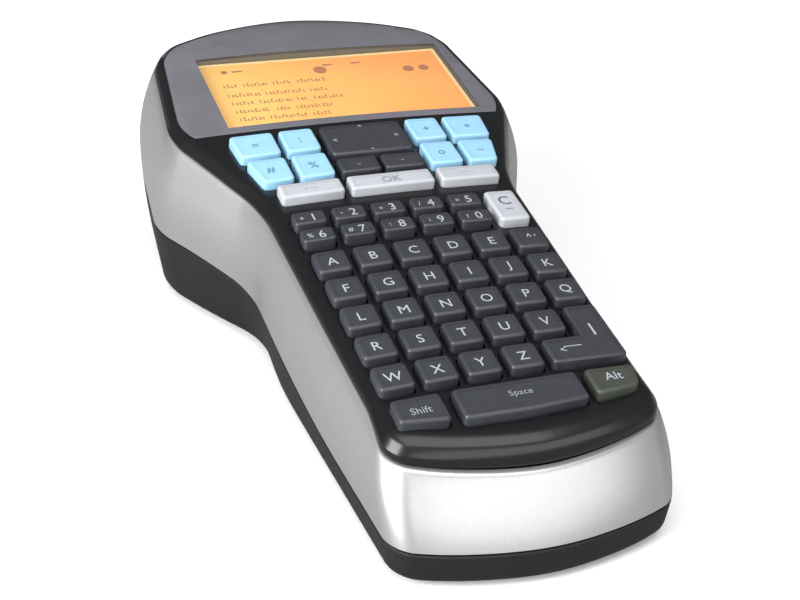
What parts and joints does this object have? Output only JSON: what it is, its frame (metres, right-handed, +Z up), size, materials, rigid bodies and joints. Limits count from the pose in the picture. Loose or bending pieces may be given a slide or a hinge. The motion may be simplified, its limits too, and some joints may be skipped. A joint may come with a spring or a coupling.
{
  "type": "label maker",
  "caption": "Hand-held label maker with a sloping keyboard handle, wide display head, hinged tape and battery doors, geared print unit and push cutter.",
  "frame": {"origin": "on the table, under the middle of the body in length and width", "axes": "+Y from the keyboard end to the display end, +X to the right of the person typing, +Z up"},
  "size_m": [0.1006, 0.198, 0.0575],
  "materials": {
    "silver_paint": "satin metallic silver paint over moulded plastic",
    "black_abs": "fine spark-eroded texture",
    "black_gloss": "satin-gloss moulded plastic",
    "tinted_window": "smoke-tinted clear window",
    "lcd_amber": "amber backlit display glass",
    "light_guide": "frosted light guide",
    "flex_film": "polyimide flat cable",
    "grey_silicone": "moulded silicone key mat",
    "circuit_board": "solder-masked board",
    "screw_steel": "zinc plated",
    "foot_rubber": "moulded",
    "battery_wrap": "moulded battery case",
    "contact_brass": "stamped",
    "cassette_plastic": "moulded light grey",
    "label_tape": "wound white tape",
    "ribbon_film": "wound black ribbon",
    "chassis_steel": "stamped and zinc plated",
    "motor_steel": "drawn can",
    "gear_acetal": "moulded natural acetal",
    "platen_rubber": "ground rubber",
    "head_ceramic": "glazed ceramic",
    "charcoal_abs": "moulded",
    "blade_steel": "ground edge",
    "socket_steel": "stamped shell",
    "key_charcoal": "moulded caps with printed white legends",
    "key_blue": "moulded light blue caps",
    "key_grey": "moulded light grey caps"
  },
  "bodies": {
    "housing": {"upper_shell": "silver_paint", "base_shell": "black_abs", "face_plate": "black_gloss", "display_window": "tinted_window", "lcd_panel": "lcd_amber", "lcd_backlight": "light_guide", "display_cable": "flex_film", "key_mat": "grey_silicone", "main_board": "circuit_board", "inner_screws": "screw_steel", "housing_screws": "screw_steel", "rubber_feet": "foot_rubber", "battery_pack": "battery_wrap", "battery_contacts": "contact_brass", "tape_cassette": "cassette_plastic", "mech_frame": "chassis_steel", "drive_motor": "motor_steel", "cutter_spring": "screw_steel", "dc_jack": "black_abs", "usb_port": "socket_steel"},
    "cassette_door": {"cassette_door": "black_abs"},
    "battery_cover": {"battery_cover": "black_abs"},
    "head_lever": {"head_lever": "chassis_steel", "print_head": "head_ceramic"},
    "motor_rotor": {"motor_pinion": "contact_brass"},
    "reduction": {"reduction_gear": "gear_acetal"},
    "platen": {"platen_gear": "gear_acetal", "platen_roller": "platen_rubber"},
    "idler": {"idler_gear": "gear_acetal"},
    "ribbon_drive": {"ribbon_drive_gear": "gear_acetal", "ribbon_take_up_spool": "ribbon_film"},
    "tape_roll": {"tape_roll": "label_tape"},
    "ribbon_supply": {"ribbon_supply_spool": "ribbon_film"},
    "cutter": {"cutter_button": "charcoal_abs", "cutter_blade": "blade_steel"},
    "number_keys": {"number_keys": "key_charcoal"},
    "letter_row_a": {"letter_row_a": "key_charcoal"},
    "letter_row_f": {"letter_row_f": "key_charcoal"},
    "letter_row_l": {"letter_row_l": "key_charcoal"},
    "letter_row_r": {"letter_row_r": "key_charcoal"},
    "letter_row_w": {"letter_row_w": "key_charcoal"},
    "special_key": {"special_key": "key_charcoal"},
    "clear_key": {"clear_key": "key_grey"},
    "enter_key": {"enter_key": "key_charcoal"},
    "shift_key": {"shift_key": "key_charcoal"},
    "space_key": {"space_key": "key_charcoal"},
    "alt_key": {"alt_key": "key_charcoal"},
    "blue_key_upper_left_outer": {"blue_key_upper_left_outer": "key_blue"},
    "blue_key_upper_left_inner": {"blue_key_upper_left_inner": "key_blue"},
    "blue_key_upper_right_inner": {"blue_key_upper_right_inner": "key_blue"},
    "blue_key_upper_right_outer": {"blue_key_upper_right_outer": "key_blue"},
    "blue_key_lower_left_outer": {"blue_key_lower_left_outer": "key_blue"},
    "blue_key_lower_left_inner": {"blue_key_lower_left_inner": "key_blue"},
    "blue_key_lower_right_inner": {"blue_key_lower_right_inner": "key_blue"},
    "blue_key_lower_right_outer": {"blue_key_lower_right_outer": "key_blue"},
    "grey_key_left": {"grey_key_left": "key_grey"},
    "grey_key_middle": {"grey_key_middle": "key_grey"},
    "grey_key_right": {"grey_key_right": "key_grey"},
    "dark_keys": {"dark_keys": "key_charcoal"},
    "navigation_pad": {"navigation_pad": "key_charcoal"}
  },
  "joints": [
    {"name": "cassette_door_hinge", "type": "hinge", "parent": "housing", "child": "cassette_door", "pos_m": [0, 0.0261, 0.0025], "axis": [-1, 0, 0], "range_deg": [0, 100]},
    {"name": "battery_cover_hinge", "type": "hinge", "parent": "housing", "child": "battery_cover", "pos_m": [0, -0.0814, 0.0025], "axis": [-1, 0, 0], "range_deg": [0, 100]},
    {"name": "head_lever_turn", "type": "hinge", "parent": "housing", "child": "head_lever", "pos_m": [0.0298, 0.04784, 0.02], "axis": [0, 0, 1], "range_deg": [0, 4]},
    {"name": "motor_turn", "type": "hinge", "parent": "housing", "child": "motor_rotor", "pos_m": [0.036, 0.038, 0.02], "axis": [0, 0, 1], "continuous": true},
    {"name": "reduction_gear_turn", "type": "hinge", "parent": "housing", "child": "reduction", "pos_m": [0.03307, 0.05179, 0.02], "axis": [0, 0, 1], "continuous": true},
    {"name": "platen_turn", "type": "hinge", "parent": "housing", "child": "platen", "pos_m": [0.03425, 0.06534, 0.02], "axis": [0, 0, 1], "continuous": true},
    {"name": "idler_gear_turn", "type": "hinge", "parent": "housing", "child": "idler", "pos_m": [0.01851, 0.06869, 0.02], "axis": [0, 0, 1], "continuous": true},
    {"name": "ribbon_drive_turn", "type": "hinge", "parent": "housing", "child": "ribbon_drive", "pos_m": [0.00441, 0.06869, 0.02], "axis": [0, 0, 1], "continuous": true},
    {"name": "tape_roll_turn", "type": "hinge", "parent": "housing", "child": "tape_roll", "pos_m": [-0.0153, 0.0472, 0.02], "axis": [0, 0, 1], "continuous": true},
    {"name": "ribbon_supply_turn", "type": "hinge", "parent": "housing", "child": "ribbon_supply", "pos_m": [0.012, 0.0405, 0.02], "axis": [0, 0, 1], "continuous": true},
    {"name": "cutter_press", "type": "slide", "parent": "housing", "child": "cutter", "axis": [-1, 0, 0], "range_m": [0, 0.0032], "stiffness_N_per_m": 400, "springref_m": -0.003},
    {"name": "number_keys_press", "type": "slide", "parent": "housing", "child": "number_keys", "axis": [0, 0.1495, -0.9888], "range_m": [0, 0.001], "stiffness_N_per_m": 300, "springref_m": -0.0006},
    {"name": "letter_row_a_press", "type": "slide", "parent": "housing", "child": "letter_row_a", "axis": [0, 0.1495, -0.9888], "range_m": [0, 0.001], "stiffness_N_per_m": 300, "springref_m": -0.0006},
    {"name": "letter_row_f_press", "type": "slide", "parent": "housing", "child": "letter_row_f", "axis": [0, 0.1495, -0.9888], "range_m": [0, 0.001], "stiffness_N_per_m": 300, "springref_m": -0.0006},
    {"name": "letter_row_l_press", "type": "slide", "parent": "housing", "child": "letter_row_l", "axis": [0, 0.1495, -0.9888], "range_m": [0, 0.001], "stiffness_N_per_m": 300, "springref_m": -0.0006},
    {"name": "letter_row_r_press", "type": "slide", "parent": "housing", "child": "letter_row_r", "axis": [0, 0.1495, -0.9888], "range_m": [0, 0.001], "stiffness_N_per_m": 300, "springref_m": -0.0006},
    {"name": "letter_row_w_press", "type": "slide", "parent": "housing", "child": "letter_row_w", "axis": [0, 0.1495, -0.9888], "range_m": [0, 0.001], "stiffness_N_per_m": 300, "springref_m": -0.0006},
    {"name": "special_key_press", "type": "slide", "parent": "housing", "child": "special_key", "axis": [0, 0.1495, -0.9888], "range_m": [0, 0.001], "stiffness_N_per_m": 300, "springref_m": -0.0006},
    {"name": "clear_key_press", "type": "slide", "parent": "housing", "child": "clear_key", "axis": [0, 0.1495, -0.9888], "range_m": [0, 0.001], "stiffness_N_per_m": 300, "springref_m": -0.0006},
    {"name": "enter_key_press", "type": "slide", "parent": "housing", "child": "enter_key", "axis": [0, 0.1495, -0.9888], "range_m": [0, 0.001], "stiffness_N_per_m": 300, "springref_m": -0.0006},
    {"name": "shift_key_press", "type": "slide", "parent": "housing", "child": "shift_key", "axis": [0, 0.1495, -0.9888], "range_m": [0, 0.001], "stiffness_N_per_m": 300, "springref_m": -0.0006},
    {"name": "space_key_press", "type": "slide", "parent": "housing", "child": "space_key", "axis": [0, 0.1495, -0.9888], "range_m": [0, 0.001], "stiffness_N_per_m": 300, "springref_m": -0.0006},
    {"name": "alt_key_press", "type": "slide", "parent": "housing", "child": "alt_key", "axis": [0, 0.1495, -0.9888], "range_m": [0, 0.001], "stiffness_N_per_m": 300, "springref_m": -0.0006},
    {"name": "blue_key_upper_left_outer_press", "type": "slide", "parent": "housing", "child": "blue_key_upper_left_outer", "axis": [0, 0.1495, -0.9888], "range_m": [0, 0.001], "stiffness_N_per_m": 300, "springref_m": -0.0006},
    {"name": "blue_key_upper_left_inner_press", "type": "slide", "parent": "housing", "child": "blue_key_upper_left_inner", "axis": [0, 0.1495, -0.9888], "range_m": [0, 0.001], "stiffness_N_per_m": 300, "springref_m": -0.0006},
    {"name": "blue_key_upper_right_inner_press", "type": "slide", "parent": "housing", "child": "blue_key_upper_right_inner", "axis": [0, 0.1495, -0.9888], "range_m": [0, 0.001], "stiffness_N_per_m": 300, "springref_m": -0.0006},
    {"name": "blue_key_upper_right_outer_press", "type": "slide", "parent": "housing", "child": "blue_key_upper_right_outer", "axis": [0, 0.1495, -0.9888], "range_m": [0, 0.001], "stiffness_N_per_m": 300, "springref_m": -0.0006},
    {"name": "blue_key_lower_left_outer_press", "type": "slide", "parent": "housing", "child": "blue_key_lower_left_outer", "axis": [0, 0.1495, -0.9888], "range_m": [0, 0.001], "stiffness_N_per_m": 300, "springref_m": -0.0006},
    {"name": "blue_key_lower_left_inner_press", "type": "slide", "parent": "housing", "child": "blue_key_lower_left_inner", "axis": [0, 0.1495, -0.9888], "range_m": [0, 0.001], "stiffness_N_per_m": 300, "springref_m": -0.0006},
    {"name": "blue_key_lower_right_inner_press", "type": "slide", "parent": "housing", "child": "blue_key_lower_right_inner", "axis": [0, 0.1495, -0.9888], "range_m": [0, 0.001], "stiffness_N_per_m": 300, "springref_m": -0.0006},
    {"name": "blue_key_lower_right_outer_press", "type": "slide", "parent": "housing", "child": "blue_key_lower_right_outer", "axis": [0, 0.1495, -0.9888], "range_m": [0, 0.001], "stiffness_N_per_m": 300, "springref_m": -0.0006},
    {"name": "grey_key_left_press", "type": "slide", "parent": "housing", "child": "grey_key_left", "axis": [0, 0.1495, -0.9888], "range_m": [0, 0.001], "stiffness_N_per_m": 300, "springref_m": -0.0006},
    {"name": "grey_key_middle_press", "type": "slide", "parent": "housing", "child": "grey_key_middle", "axis": [0, 0.1495, -0.9888], "range_m": [0, 0.001], "stiffness_N_per_m": 300, "springref_m": -0.0006},
    {"name": "grey_key_right_press", "type": "slide", "parent": "housing", "child": "grey_key_right", "axis": [0, 0.1495, -0.9888], "range_m": [0, 0.001], "stiffness_N_per_m": 300, "springref_m": -0.0006},
    {"name": "dark_keys_press", "type": "slide", "parent": "housing", "child": "dark_keys", "axis": [0, 0.1495, -0.9888], "range_m": [0, 0.001], "stiffness_N_per_m": 300, "springref_m": -0.0006},
    {"name": "navigation_pad_press", "type": "slide", "parent": "housing", "child": "navigation_pad", "axis": [0, 0.1495, -0.9888], "range_m": [0, 0.001], "stiffness_N_per_m": 300, "springref_m": -0.0006}
  ],
  "couplings": [
    {"joint": "head_lever_turn", "follows": "cassette_door_hinge", "ratio": 0.04},
    {"joint": "reduction_gear_turn", "follows": "motor_turn", "ratio": -0.27273},
    {"joint": "platen_turn", "follows": "motor_turn", "ratio": 0.095455},
    {"joint": "idler_gear_turn", "follows": "motor_turn", "ratio": -0.15909},
    {"joint": "ribbon_drive_turn", "follows": "motor_turn", "ratio": 0.11932},
    {"joint": "tape_roll_turn", "follows": "motor_turn", "ratio": 0.02314},
    {"joint": "ribbon_supply_turn", "follows": "motor_turn", "ratio": 0.063636}
  ]
}
